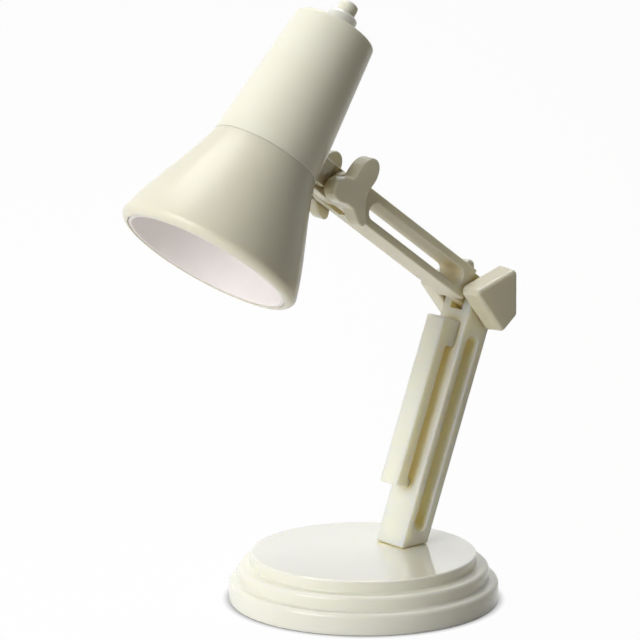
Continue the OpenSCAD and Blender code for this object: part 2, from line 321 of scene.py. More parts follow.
@dataclass(frozen=True)
class Plastic(Finish):
    """Moulded plastic with faint flow mottling and an orange-peel gloss.

    Attributes:
        roughness: Mean roughness of the skin.
        haze: Spread of the roughness to either side.
        peel: Height of the orange peel in millimetres.
        glow: Weight of the light that scatters under the skin.
        reach: How far that light travels in millimetres.
        varnish: Weight of the mirror-like outer skin.
        varnish_ior: Refractive index of that skin.
        polish_from: Height in metres above which that skin lies, or None for all over.
        nook: Linear colour of painted shade and caught light in slots and gaps, or None.
    """

    roughness: float = 0.1
    haze: float = 0.025
    peel: float = 0.0025
    glow: float = 0.45
    reach: float = 3.5
    varnish: float = 0.0
    varnish_ior: float = 1.5
    polish_from: Optional[float] = None
    nook: Optional[Colour] = None

    FLOW_WAVES: ClassVar[float] = 140.0
    FLOW_ENDS: ClassVar[Span] = (0.35, 0.65)
    HAZE_WAVES: ClassVar[float] = 420.0
    PEEL_WAVES: ClassVar[float] = 900.0
    IOR: ClassVar[float] = 1.49
    GLOW_REACH: ClassVar[Triple] = (1.0, 0.84, 0.5)
    VARNISH_ROUGHNESS: ClassVar[float] = 0.03

    def paint(self, nodes: Nodes) -> None:
        """Sets the mottled colour, the gloss with its fine bump, the glow and the outer skin.

        Args:
            nodes: Builder of the material.
        """
        colour = self.marks(nodes, nodes.noise(self.FLOW_WAVES, detail=3.0), self.FLOW_ENDS)
        # Painted shade and caught light in slots and gaps, where the finish has a nook colour
        if self.nook is not None:
            colour = nodes.paint_nook_shade(colour, self.nook)
        nodes.drive("Base Color", colour)
        nodes.vary("Roughness", nodes.noise(self.HAZE_WAVES, detail=2.0), self.roughness, self.haze)
        nodes.bump(nodes.noise(self.PEEL_WAVES, detail=1.0), self.peel)
        nodes.set("IOR", self.IOR)
        nodes.set("Subsurface Weight", self.glow)
        nodes.set("Subsurface Radius", self.GLOW_REACH)
        nodes.set("Subsurface Scale", self.reach * MM)
        nodes.set("Coat Weight", self.varnish)
        if self.polish_from is not None:
            nodes.rise("Coat Weight", self.polish_from, self.varnish)
        nodes.set("Coat Roughness", self.VARNISH_ROUGHNESS)
        nodes.set("Coat IOR", self.varnish_ior)


@dataclass(frozen=True)
class Metal(Finish):
    """Plain metal with streaks drawn along X.

    Attributes:
        roughness: Mean roughness.
    """

    roughness: float = 0.3

    STREAK_WAVES: ClassVar[float] = 2600.0
    STREAK_STRETCH: ClassVar[Triple] = (0.08, 1.0, 1.0)
    STREAK_ENDS: ClassVar[Span] = (0.3, 0.7)
    STREAK_HAZE: ClassVar[float] = 0.08
    STREAK_HEIGHT: ClassVar[float] = 0.003

    def paint(self, nodes: Nodes) -> None:
        """Sets the colour, the roughness and the bump from one pattern of streaks.

        Args:
            nodes: Builder of the material.
        """
        streaks = nodes.noise(self.STREAK_WAVES, detail=4.0, stretch=self.STREAK_STRETCH)
        nodes.drive("Base Color", self.marks(nodes, streaks, self.STREAK_ENDS))
        nodes.vary("Roughness", streaks, self.roughness, self.STREAK_HAZE)
        nodes.bump(streaks, self.STREAK_HEIGHT)
        nodes.set("Metallic", 1.0)


@dataclass(frozen=True)
class Epoxy(Finish):
    """Clear casting resin of the lamp's diode: light is the resin, deep its phosphor haze."""

    HAZE_WAVES: ClassVar[float] = 500.0
    HAZE_ENDS: ClassVar[Span] = (0.3, 0.7)
    ROUGHNESS: ClassVar[float] = 0.06
    IOR: ClassVar[float] = 1.53
    CLEARNESS: ClassVar[float] = 0.55

    def paint(self, nodes: Nodes) -> None:
        """Sets the hazy colour and lets light through.

        Args:
            nodes: Builder of the material.
        """
        haze = nodes.noise(self.HAZE_WAVES, detail=2.0)
        nodes.drive("Base Color", self.marks(nodes, haze, self.HAZE_ENDS))
        nodes.set("Roughness", self.ROUGHNESS)
        nodes.set("IOR", self.IOR)
        nodes.set("Transmission Weight", self.CLEARNESS)


IVORY = Plastic("ivory_gloss", linear(243, 242, 228), linear(242, 241, 226), roughness=0.15, glow=0.3,
                varnish=1.0, varnish_ior=1.7, polish_from=8.8 * MM)
# The nook colours below are painted shade in slots and gaps: dark brown on the plates, a golden glow on the
# arms
IVORY_SATIN = Plastic("ivory_satin", linear(236, 231, 208), linear(235, 230, 206), roughness=0.12, glow=0.3,
                      nook=linear(150, 128, 84))
IVORY_ARM = Plastic("ivory_dull", linear(236, 231, 210), linear(235, 230, 208), roughness=0.42, glow=0.3,
                    nook=linear(226, 211, 162))
IVORY_CLEAR = Plastic("ivory_translucent", linear(248, 244, 226), linear(247, 243, 224), roughness=0.4,
                      glow=1.0, reach=4.5, nook=linear(236, 221, 172))
IVORY_SHADE = Plastic("ivory_shade", linear(227, 223, 203), linear(226, 222, 201), roughness=0.3, haze=0.01,
                      peel=0.001, glow=0.3)
IVORY_PALE = Plastic("ivory_pale", linear(236, 234, 217), linear(235, 233, 215), roughness=0.3, haze=0.01,
                     peel=0.001, glow=0.2)
PEARL_WHITE = Plastic("pearl_white", linear(253, 246, 241), linear(252, 245, 240), roughness=0.55, glow=0.3,
                      reach=6.0)
BLACK = Plastic("black_matt", linear(38, 38, 40), linear(30, 30, 32), roughness=0.5, glow=0.0)
RUBBER = Plastic("soft_rubber", linear(46, 46, 47), linear(36, 36, 38), roughness=0.75, peel=0.012, glow=0.0)
BOARD = Plastic("solder_mask", linear(28, 98, 58), linear(22, 84, 50), roughness=0.35, glow=0.0)
ZINC = Metal("zinc_steel", linear(206, 207, 210), linear(180, 181, 186), roughness=0.32)
CAN = Metal("cell_can", linear(218, 218, 220), linear(200, 200, 204), roughness=0.18)
BRASS = Metal("bright_brass", linear(226, 194, 120), linear(205, 170, 96), roughness=0.24)
RESIN = Epoxy("diode_resin", linear(250, 250, 244), linear(244, 238, 205))


# Shapes

# Segments of a rounded corner, of a round bar end, of a rolled edge and of a plain rod
CORNER_STEPS = 7
BAR_STEPS = 11
ROLL_STEPS = 5
ROD_STEPS = 72

# Radius of a round bar end as a share of half the bar's width
ROUND_END = 0.97

# Edges of the plain blocks and rods, and how far a cutter stands out of its piece
BLOCK_CORNER = 0.25
BLOCK_ROLL = 0.1
ROD_ROLL = 0.02
CUT_PAST = 2.0

# Doubles merge within this many metres, edges over so many degrees stay sharp, and a smaller
# radius in millimetres counts as on the axis
WELD = 1e-7
CREASE = 40.0
ON_AXIS = 1e-6


@dataclass(frozen=True)
class Place:
    """A frame in millimetres, turned about the side-to-side axis.

    Attributes:
        origin: Its origin in metres.
        turn: Its turn about +X in degrees.
    """

    origin: Array
    turn: float = 0.0

    def put(self, points: Array) -> Array:
        """Turns local points in millimetres and sets them at the origin.

        Args:
            points: Local points, any shape ending in 3.

        Returns:
            The points in metres.
        """
        angle = math.radians(self.turn)
        cos, sin = math.cos(angle), math.sin(angle)
        rotation = np.array([[1, 0, 0], [0, cos, -sin], [0, sin, cos]])
        return self.origin + points @ rotation.T * MM


def grid_faces(rows: int, cols: int, wrap_rows: bool) -> list[list[int]]:
    """Lists the quads of a grid whose columns close on themselves.

    Args:
        rows: Number of rings.
        cols: Points in a ring.
        wrap_rows: Whether the last ring joins the first.

    Returns:
        Vertex numbers of each quad.
    """
    row = np.arange(rows if wrap_rows else rows - 1)[:, None]
    col = np.arange(cols)[None, :]
    start = row * cols
    after = (row + 1) % rows * cols
    next_col = (col + 1) % cols
    corners = [start + col, start + next_col, after + next_col, after + col]
    return np.stack(corners, axis=-1).reshape(-1, 4).tolist()


def solid(name: str, points: Array, faces: list[Sequence[int]]) -> Piece:
    """Makes a closed, smooth-shaded mesh object whose faces point outwards.

    Args:
        name: Name of the piece.
        points: Vertices in metres.
        faces: Vertex numbers of each face.

    Returns:
        The new object, at the origin.
    """
    mesh = bpy.data.meshes.new(name)
    mesh.from_pydata(points.reshape(-1, 3).tolist(), [], faces)
    tidy_shading(mesh)
    piece = bpy.data.objects.new(name, mesh)
    bpy.context.scene.collection.objects.link(piece)
    return piece


def tidy_shading(mesh: bpy.types.Mesh) -> None:
    """Merges doubles, turns the faces outwards and smooths all but the creases.

    Args:
        mesh: Mesh to work on.
    """
    work = bmesh.new()
    work.from_mesh(mesh)
    bmesh.ops.remove_doubles(work, verts=work.verts, dist=WELD)
    bmesh.ops.recalc_face_normals(work, faces=work.faces)
    work.to_mesh(mesh)
    work.free()
    mesh.shade_smooth()
    mesh.set_sharp_from_angle(angle=math.radians(CREASE))


def oblong(y_ends: Span, z_ends: Span) -> Array:
    """Returns the corners of a rectangle, counter-clockwise from the lower left."""
    (left, right), (low, high) = y_ends, z_ends
    return np.array([[left, low], [right, low], [right, high], [left, high]])


def rounded(corners: Array, radii: Array, steps: int = CORNER_STEPS) -> Array:
    """Replaces each corner of a closed outline by an arc.

    With unit vectors u and v from the corner to its neighbours and half the angle between them
    called h, the arc's centre lies r / sin(h) along u + v, and the arc runs between the points
    r / tan(h) along u and along v.

    Args:
        corners: Outline corners, shape (n, 2).
        radii: Radius at each corner, or one for all.
        steps: Segments in each arc.

    Returns:
        The outline, shape (n * (steps + 1), 2).
    """
    radius = np.broadcast_to(np.asarray(radii, float), len(corners))[:, None]
    before = np.roll(corners, 1, axis=0) - corners
    after = np.roll(corners, -1, axis=0) - corners
    before = before / np.linalg.norm(before, axis=1, keepdims=True)
    after = after / np.linalg.norm(after, axis=1, keepdims=True)
    half = np.arccos(np.clip((before * after).sum(1, keepdims=True), -1, 1)) / 2
    middle = before + after
    middle = middle / np.linalg.norm(middle, axis=1, keepdims=True)
    centre = corners + middle * radius / np.sin(half)
    first = corners + before * radius / np.tan(half) - centre
    last = corners + after * radius / np.tan(half) - centre
    start = np.arctan2(first[:, 1], first[:, 0])[:, None]
    sweep = np.arctan2(last[:, 1], last[:, 0])[:, None] - start
    sweep = (sweep + np.pi) % (2 * np.pi) - np.pi
    angle = start + sweep * np.linspace(0, 1, steps + 1)[None, :]
    arc = np.stack([np.cos(angle), np.sin(angle)], axis=-1)
    return (centre[:, None, :] + radius[:, :, None] * arc).reshape(-1, 2)


def with_edges(corners: list[Triple], steps: int = CORNER_STEPS) -> Array:
    """Returns a closed outline from corners that each hold two coordinates and the corner's radius."""
    table = np.array(corners)
    return rounded(table[:, :2], table[:, 2], steps)


def round_ended(width: float, ends: Span) -> Array:
    """Returns the outline of an upright bar or slot whose ends are rounded over."""
    half = width / 2
    return rounded(oblong((-half, half), ends), half * ROUND_END, BAR_STEPS)


def normals_of(outline: Array) -> Array:
    """Works out the outward unit normals of a closed outline from the chords between neighbours.

    Args:
        outline: Counter-clockwise outline, shape (n, 2).

    Returns:
        One normal for each point.
    """
    chord = np.roll(outline, -1, axis=0) - np.roll(outline, 1, axis=0)
    chord = chord / np.linalg.norm(chord, axis=1, keepdims=True)
    return np.stack([chord[:, 1], -chord[:, 0]], axis=1)


def edge_rolls(x_from: float, x_to: float, roll: float) -> tuple[Array, Array]:
    """Gives the section of a plate's rim with both edges rolled over.

    The inset is r (1 - sin a) and the depth r (1 - cos a) for a from 0 at the face to 90 degrees
    at the side.

    Args:
        x_from: First face.
        x_to: Second face, further along.
        roll: Radius of the rolled edges.

    Returns:
        Insets from the outline, and places along the thickness.
    """
    angle = np.linspace(0, np.pi / 2, ROLL_STEPS + 1)
    inset = roll * (1 - np.sin(angle))
    depth = roll * (1 - np.cos(angle))
    return np.concatenate([inset, inset[::-1]]), np.concatenate([x_from + depth, (x_to - depth)[::-1]])


def layered(along: Array, rings: Array) -> Array:
    """Returns the points [x, y, z] of rings of [y, z] that stand at places along X."""
    depth = np.broadcast_to(along[:, None, None], (*rings.shape[:2], 1))
    return np.concatenate([depth, rings], axis=-1)


def plate(name: str, outline: Array, x_ends: Span, place: Place, roll: float, draft: float = 0.0) -> Piece:
    """Makes a plate from a flat outline, with rolled edges and drafted sides.

    Ring k of the surface is the outline moved in along its normals by the roll's inset plus the
    draft in proportion to the depth, at the roll's place along X. A flat face closes each end.

    Args:
        name: Name of the piece.
        outline: Counter-clockwise outline in local [y, z].
        x_ends: First and second face along X, in either order.
        place: Frame of the outline.
        roll: Radius of the rolled edges.
        draft: How much the second face's outline is smaller.

    Returns:
        The new object.
    """
    x_from, x_to = x_ends
    side = math.copysign(1.0, x_to - x_from)
    inset, along = edge_rolls(side * x_from, side * x_to, roll)
    inset = inset + draft * (along - side * x_from) / abs(x_to - x_from)
    rings = outline[None] - inset[:, None, None] * normals_of(outline)[None]
    rows, cols = rings.shape[:2]
    faces = grid_faces(rows, cols, False)
    faces.append(list(range(cols)))
    faces.append(list(range((rows - 1) * cols, rows * cols)))
    return solid(name, place.put(layered(side * along, rings)), faces)


def slotted_plate(name: str, outer: Array, inner: Array, half: float, place: Place, roll: float) -> Piece:
    """Makes a bar with a slot through it along X, all edges rolled.

    The surface is a closed band: its section goes over the outer side from one face to the other
    and back through the slot, and it is carried round both outlines at once.

    Args:
        name: Name of the piece.
        outer: Counter-clockwise outline of the bar in local [y, z].
        inner: Outline of the slot with as many points in the same order.
        half: Half the bar's width along X.
        place: Frame of the outlines.
        roll: Radius of the rolled edges.

    Returns:
        The new object.
    """
    inset, along = edge_rolls(-half, half, roll)
    outside = outer[None] - inset[:, None, None] * normals_of(outer)[None]
    inside = inner[None] + inset[:, None, None] * normals_of(inner)[None]
    rings = np.concatenate([outside, inside[::-1]])
    points = layered(np.concatenate([along, along[::-1]]), rings)
    return solid(name, place.put(points), grid_faces(*rings.shape[:2], True))


def turned(name: str, profile: Array, place: Place, segments: int) -> Piece:
    """Turns a closed profile round the local Z axis.

    Point (r, z) goes to (r cos a, r sin a, z). Points on the axis become one vertex each.

    Args:
        name: Name of the piece.
        profile: Closed loop of (radius, height), or a path that starts and ends on the axis.
        place: Frame of the axis.
        segments: Points round the axis.

    Returns:
        The new object.
    """
    angle = np.linspace(0, 2 * np.pi, segments, endpoint=False)
    radius, height = profile[:, :1], profile[:, 1:]
    points = np.stack([radius * np.cos(angle), radius * np.sin(angle), height + 0 * angle], axis=-1)
    open_path = profile[0, 0] < ON_AXIS and profile[-1, 0] < ON_AXIS
    return solid(name, place.put(points), grid_faces(len(profile), segments, not open_path))


def rod_up(name: str, radius: float, ends: Span, place: Place) -> Piece:
    """Makes a plain round rod along the local Z axis.

    Args:
        name: Name of the piece.
        radius: Radius of the rod.
        ends: Lower and upper end.
        place: Frame of the axis.

    Returns:
        The new object.
    """
    low, high = ends
    profile = np.array([[0.0, low], [radius, low], [radius, high], [0.0, high]])
    return turned(name, profile, place, ROD_STEPS)


def rod_across(name: str, radius: float, half: float, middle: float, place: Place) -> Piece:
    """Makes a plain round rod along X.

    Args:
        name: Name of the piece.
        radius: Radius of the rod.
        half: Half its length.
        middle: Height of its axis in the local frame.
        place: Frame of the axis.

    Returns:
        The new object.
    """
    angle = np.linspace(0, 2 * np.pi, ROD_STEPS, endpoint=False)
    circle = np.stack([radius * np.cos(angle), middle + radius * np.sin(angle)], axis=1)
    return plate(name, circle, (-half, half), place, ROD_ROLL)


def block(name: str, x_ends: Span, y_half: float, z_ends: Span, place: Place) -> Piece:
    """Makes a plain block whose edges are hardly rolled, for cutting.

    Args:
        name: Name of the piece.
        x_ends: Ends along X.
        y_half: Half its depth.
        z_ends: Ends along the local Z.
        place: Frame of the block.

    Returns:
        The new object.
    """
    return plate(name, rounded(oblong((-y_half, y_half), z_ends), BLOCK_CORNER), x_ends, place, BLOCK_ROLL)


def blend(piece: Piece, tool: Piece, way: Blend) -> None:
    """Joins a tool solid to a piece or cuts it away, and removes the tool.

    Args:
        piece: Piece to change.
        tool: Closed solid to use.
        way: Whether it is joined or cut away.
    """
    step = piece.modifiers.new("shape", "BOOLEAN")
    step.operation = way.value
    step.solver = "EXACT"
    step.object = tool
    bpy.context.view_layer.update()
    evaluated = piece.evaluated_get(bpy.context.evaluated_depsgraph_get())
    mesh = bpy.data.meshes.new_from_object(evaluated)
    piece.modifiers.clear()
    old = piece.data
    piece.data = mesh
    bpy.data.meshes.remove(old)
    mesh.name = piece.name
    tidy_shading(mesh)
    bpy.data.objects.remove(tool)


def dress(piece: Piece, finish: Finish, body: Body, slot: Slot, *nodes: str) -> Piece:
    """Gives a piece its finish and weighted normals, and lets it ride on a body.

    Args:
        piece: Piece to dress.
        finish: Its finish.
        body: Body that carries the piece.
        slot: Material slot of the record; not used.
        nodes: CAD nodes that the piece stands for.

    Returns:
        The piece.
    """
    piece.data.materials.clear()
    piece.data.materials.append(finish.material())
    piece.modifiers.new("even_shading", "WEIGHTED_NORMAL").keep_sharp = True
    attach(piece, body.value)
    if nodes:
        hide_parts(*nodes)
    log.info("%s: %d faces on %s", piece.name, len(piece.data.polygons), body.value)
    return piece


def finish_nodes(finish: Finish, *nodes: str) -> None:
    """Gives the own meshes of CAD nodes a finish.

    Args:
        finish: Their finish.
        nodes: Names of the nodes.
    """
    for node in nodes:
        mesh = frame["nodes"][node].data
        mesh.materials.clear()
        mesh.materials.append(finish.material())
        log.info("%s keeps its solid", node)


# The lamp's frame


@dataclass(frozen=True)
class Pivots:
    """Pivots and directions of the lamp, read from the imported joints.

    Attributes:
        foot: Middle of the lower arm's foot on the base.
        elbow: Pivot between the arms.
        head: Pivot of the head.
        seam: Point of the head's axis between housing and shade.
        axis: Direction of the head's axis, up the housing.
    """

    foot: Array
    elbow: Array
    head: Array
    seam: Array
    axis: Array

    @classmethod
    def from_joints(cls, joints: list[dict]) -> "Pivots":
        """Collects the pivots.

        Args:
            joints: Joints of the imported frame.

        Returns:
            The pivots.
        """
        by_name = {joint["name"]: joint for joint in joints}
        spot = {name: np.array(joint["pos_m"]) for name, joint in by_name.items() if "pos_m" in joint}
        return cls(spot["base_swivel"], spot["elbow"], spot["head_tilt"], spot["shade_twist"],
                   np.array(by_name["shade_twist"]["axis"], float))

    def at_foot(self) -> Place:
        """Frame whose Z runs up the lower arm from the base's top."""
        reach = self.elbow - self.foot
        return Place(self.foot, -math.degrees(math.atan2(reach[1], reach[2])))

    def along_upper(self) -> Place:
        """Frame at the elbow whose Z runs along the upper arm."""
        reach = self.head - self.elbow
        return Place(self.elbow, math.degrees(math.atan2(-reach[1], reach[2])))

    def at_head(self) -> Place:
        """Frame at the head's pivot whose Z is parallel to the head's axis."""
        return Place(self.head, -math.degrees(math.atan2(self.axis[1], self.axis[2])))

    def on_axis(self) -> Place:
        """Frame on the head's axis at the seam."""
        return Place(self.seam, self.at_head().turn)

    def lower_length(self) -> float:
        """Length of the lower arm from the base's top to the elbow, in millimetres."""
        return float(np.linalg.norm(self.elbow - self.foot)) / MM

    def upper_length(self) -> float:
        """Length of the upper arm between its pivots, in millimetres."""
        return float(np.linalg.norm(self.head - self.elbow)) / MM


# Sub-assemblies


@dataclass(frozen=True)
class SidePlates:
    """A pair of plates on both sides of a joint, smaller towards their outer faces.

    Attributes:
        joint: First word of the plates' names.
        inner: Distance of the inner faces from the middle.
        thickness: Thickness of each plate.
        roll: Radius of the rolled edges.
        draft: How much the outer face's outline is smaller.
    """

    joint: str
    inner: float
    thickness: float
    roll: float
    draft: float

    def build(self, outline: Array, place: Place, body: Body) -> None:
        """Makes and dresses both plates.

        Args:
            outline: Counter-clockwise outline in local [y, z].
            place: Frame of the outline.
            body: Body that carries them.
        """
        for side, word in ((1, "near"), (-1, "far")):
            ends = (side * self.inner, side * (self.inner + self.thickness))
            piece = plate(f"{self.joint}_side_{word}", outline, ends, place, self.roll, self.draft)
            dress(piece, IVORY_SATIN, body, Slot.CREAM, f"{self.joint}_plate_{word}")


@dataclass
class StandBase:
    """Round foot with three moulded steps, and the leaf spring of the clip under it."""

    step_r: Triple = (25.0, 23.2, 20.9)
    step_h: Triple = (4.0, 6.7, 9.0)
    edge: float = 0.8
    top_edge: float = 0.4
    cove: float = 0.35
    foot_edge: float = 0.3
    fine_edge: float = 0.05
    rim_wall: float = 1.55
    plate_h: float = 3.0
    ledge_edge: float = 0.2
    cavity_r: float = 19.0
    cavity_h: float = 7.0
    cavity_edge: float = 0.3
    segments: int = 256
    socket_r: float = 2.66
    socket_z: Span = (-3.0, 1.0)
    room_half: float = 8.5
    room_y: Span = (12.6, 20.6)
    room_top: float = 5.1
    room_dip: float = 0.5
    room_edge: float = 0.2
    room_roll: float = 0.1
    leaf_y: Span = (14.4, 19.6)
    leaf_z: Span = (1.68, 4.1)
    leaf_half: float = 2.4
    leaf_t: float = 0.24
    leaf_roll: float = 0.04
    leaf_keep: float = 0.44
    bend_in: float = 0.35
    bend_drop: float = 0.36
    bend_r: Span = (0.2, 0.1)
    toe_in: Span = (1.7, 1.3)
    toe_h: float = 0.25

    def profile(self) -> Array:
        """Outline of half the section: steps with rolled edges and coves, and the hollow below.

        Returns:
            Path of (radius, height) that starts and ends on the axis.
        """
        low, mid, top = self.step_r
        h_low, h_mid, h_top = self.step_h
        ledge = low - self.rim_wall
        fine = self.fine_edge
        axis_corners = [(0.0, h_top, fine), (0.0, self.cavity_h, fine)]
        hollow = [(self.cavity_r, self.cavity_h, self.cavity_edge), (self.cavity_r, self.plate_h, fine),
                  (ledge, self.plate_h, self.ledge_edge), (ledge, 0.0, fine)]
        steps = [(low, 0.0, self.foot_edge), (low, h_low, self.edge), (mid, h_low, self.cove),
                 (mid, h_mid, self.edge), (top, h_mid, self.cove), (top, h_top, self.top_edge)]
        loop = with_edges(axis_corners + hollow + steps)
        on_axis = len(axis_corners) * (CORNER_STEPS + 1)
        return np.vstack([[0.0, self.cavity_h], loop[on_axis:], [0.0, h_top]])

    def leaf(self) -> Piece:
        """Makes the clip's spring: a flat strip under the roof of its room, with a toe bent down.

        Returns:
            The leaf spring.
        """
        front, rear = self.leaf_y
        toe, top = self.leaf_z
        under = top - self.leaf_t
        toe_front, toe_back = (rear - way for way in self.toe_in)
        fine = self.fine_edge
        inside, outside = self.bend_r
        outline = with_edges([
            (front, under, fine), (rear - self.bend_in, under, inside), (toe_front, toe + self.toe_h, fine),
            (toe_front, toe, fine), (toe_back, toe, fine), (rear, top - self.bend_drop, fine),
            (rear, top, outside), (front, top, fine)])
        ends = (-self.leaf_half, self.leaf_half)
        return plate("clip_leaf", outline, ends, Place(np.zeros(3)), self.leaf_roll)

    def build(self, pivots: Pivots) -> None:
        """Makes the shell and the clip's leaf spring, and dresses the pieces under it.

        Args:
            pivots: The lamp's pivots.
        """
        ground = Place(np.zeros(3))
        shell = turned("foot_shell", self.profile(), ground, self.segments)
        blend(shell, rod_up("socket", self.socket_r, self.socket_z, Place(pivots.foot)), Blend.CUT)
        room = rounded(oblong(self.room_y, (self.plate_h - self.room_dip, self.room_top)), self.room_edge)
        half = self.room_half
        blend(shell, plate("room", room, (-half, half), ground, self.room_roll), Blend.CUT)
        dress(shell, IVORY, Body.BASE, Slot.CREAM, "base_shell")
        finish_nodes(IVORY, "base_plate")
        finish_nodes(IVORY_PALE, "clip_jaw")
        finish_nodes(RUBBER, "jaw_pad")
        leaf = dress(self.leaf(), ZINC, Body.BASE, Slot.STEEL, "clip_spring")
        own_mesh(leaf)
        finish_nodes(ZINC, "base_weight", "base_screws", "clip_pin", "swivel_screw")
        finish_nodes(BRASS, "swivel_washer")


@dataclass
class LowerArm:
    """Slotted bar that leans back from the foot, with its spring bar and elbow plates."""

    width: float = 7.5
    depth: float = 6.05
    foot_gap: float = 0.1
    foot_edge: float = 0.36
    spigot_r: float = 2.6
    spigot_z: Span = (-2.1, 1.4)
    slot_w: float = 2.7
    slot_ends: Span = (3.0, 40.8)
    fork_half: float = 1.65
    fork_l: float = 3.6
    roll: float = 0.3
    bar_w: float = 4.8
    bar_t: float = 2.45
    bar_gap: float = 1.95
    bar_ends: Span = (10.0, 42.6)
    bar_sink: float = 0.05
    bar_roll: float = 0.35
    front_edge: float = 0.5
    back_edge: float = 0.4
    brow_h: float = 5.0
    brow_edges: Span = (0.6, 0.2)
    stub_half: float = 1.0
    stub_in: float = 1.0
    stub_z: Span = (0.3, 2.0)
    stub_edge: float = 0.3
    stub_roll: float = 0.2
    plates: SidePlates = SidePlates("elbow", inner=3.8, thickness=4.6, roll=0.75, draft=0.35)
    kite: tuple[Span, ...] = ((4.3, -3.5), (4.2, 6.1), (-7.1, 2.4), (0.2, -6.8))
    kite_edge: float = 1.3
    kite_steps: int = 9

    def bar(self, pivots: Pivots) -> Piece:
        """Makes the slotted bar with its spigot and its fork.

        Args:
            pivots: The lamp's pivots.

        Returns:
            The bar.
        """
        place = pivots.at_foot()
        lean = math.radians(-place.turn)
        half = self.depth / 2
        length = pivots.lower_length()
        top = length + half
        front, rear = ((self.foot_gap + side * half * math.sin(lean)) / math.cos(lean) for side in (-1, 1))
        end_r = half * ROUND_END
        outer = with_edges([(-half, front, self.foot_edge), (half, rear, self.foot_edge), (half, top, end_r),
                            (-half, top, end_r)], BAR_STEPS)
        inner = round_ended(self.slot_w, self.slot_ends)
        piece = slotted_plate("lower_arm_bar", outer, inner, self.width / 2, place, self.roll)
        blend(piece, rod_up("spigot", self.spigot_r, self.spigot_z, Place(pivots.foot)), Blend.JOIN)
        gap = (-self.fork_half, self.fork_half)
        prongs = (length - self.fork_l, top + CUT_PAST)
        blend(piece, block("fork", gap, half + CUT_PAST, prongs, place), Blend.CUT)
        return piece

    def spring(self, pivots: Pivots) -> Piece:
        """Makes the bar in front of the arm, a bracket on a broad upper and a small lower foot.

        Args:
            pivots: The lamp's pivots.

        Returns:
            The spring bar.
        """
        place = pivots.at_foot()
        face = -self.depth / 2 + self.bar_sink
        back = -self.depth / 2 - self.bar_gap
        front = back - self.bar_t
        low, high = self.bar_ends
        brow = high - self.brow_h
        inside, root = self.brow_edges
        outline = with_edges([
            (front, low, self.front_edge), (back, low, self.back_edge), (back, brow, inside),
            (face, brow, root), (face, high, root), (front, high, self.front_edge)])
        half = self.bar_w / 2
        piece = plate("spring_bar_moulding", outline, (-half, half), place, self.bar_roll)
        stub_low, stub_high = self.stub_z
        stub = oblong((back - self.stub_in, face), (low + stub_low, low + stub_high))
        ends = (-self.stub_half, self.stub_half)
        blend(piece, plate("stub", rounded(stub, self.stub_edge), ends, place, self.stub_roll), Blend.JOIN)
        return piece

    def build(self, pivots: Pivots) -> None:
        """Makes and dresses the arm's pieces.

        Args:
            pivots: The lamp's pivots.
        """
        dress(self.bar(pivots), IVORY_CLEAR, Body.LOWER_ARM, Slot.CREAM, "lower_arm")
        dress(self.spring(pivots), IVORY_CLEAR, Body.LOWER_ARM, Slot.CREAM, "spring_bar")
        outline = rounded(np.array(self.kite), self.kite_edge, self.kite_steps)
        self.plates.build(outline, Place(pivots.elbow), Body.LOWER_ARM)
        finish_nodes(ZINC, "elbow_pin")
        finish_nodes(BLACK, "elbow_washers")


@dataclass
class UpperArm:
    """Slotted bar with a tongue at the elbow and a fork at the head."""

    width: float = 6.9
    depth: float = 6.25
    slot_w: float = 3.2
    slot_ends: Span = (6.9, 6.6)
    tongue_half: float = 1.25
    fork_half: float = 1.37
    end_l: float = 4.6
    bore_r: float = 1.55
    roll: float = 0.3

    def build(self, pivots: Pivots) -> None:
        """Makes and dresses the bar.

        Args:
            pivots: The lamp's pivots.
        """
        place = pivots.along_upper()
        half = self.depth / 2
        length = pivots.upper_length()
        outer = round_ended(self.depth, (-half, length + half))
        inner = round_ended(self.slot_w, (self.slot_ends[0], length - self.slot_ends[1]))
        piece = slotted_plate("upper_arm_bar", outer, inner, self.width / 2, place, self.roll)
        past = half + CUT_PAST
        for flank in ((self.tongue_half, self.width), (-self.width, -self.tongue_half)):
            blend(piece, block("flank", flank, past, (-past, self.end_l), place), Blend.CUT)
        gap = (-self.fork_half, self.fork_half)
        blend(piece, block("fork", gap, past, (length - self.end_l, length + past), place), Blend.CUT)
        for middle in (0.0, length):
            blend(piece, rod_across("bore", self.bore_r, self.width, middle, place), Blend.CUT)
        dress(piece, IVORY_ARM, Body.UPPER_ARM, Slot.CREAM, "upper_arm")


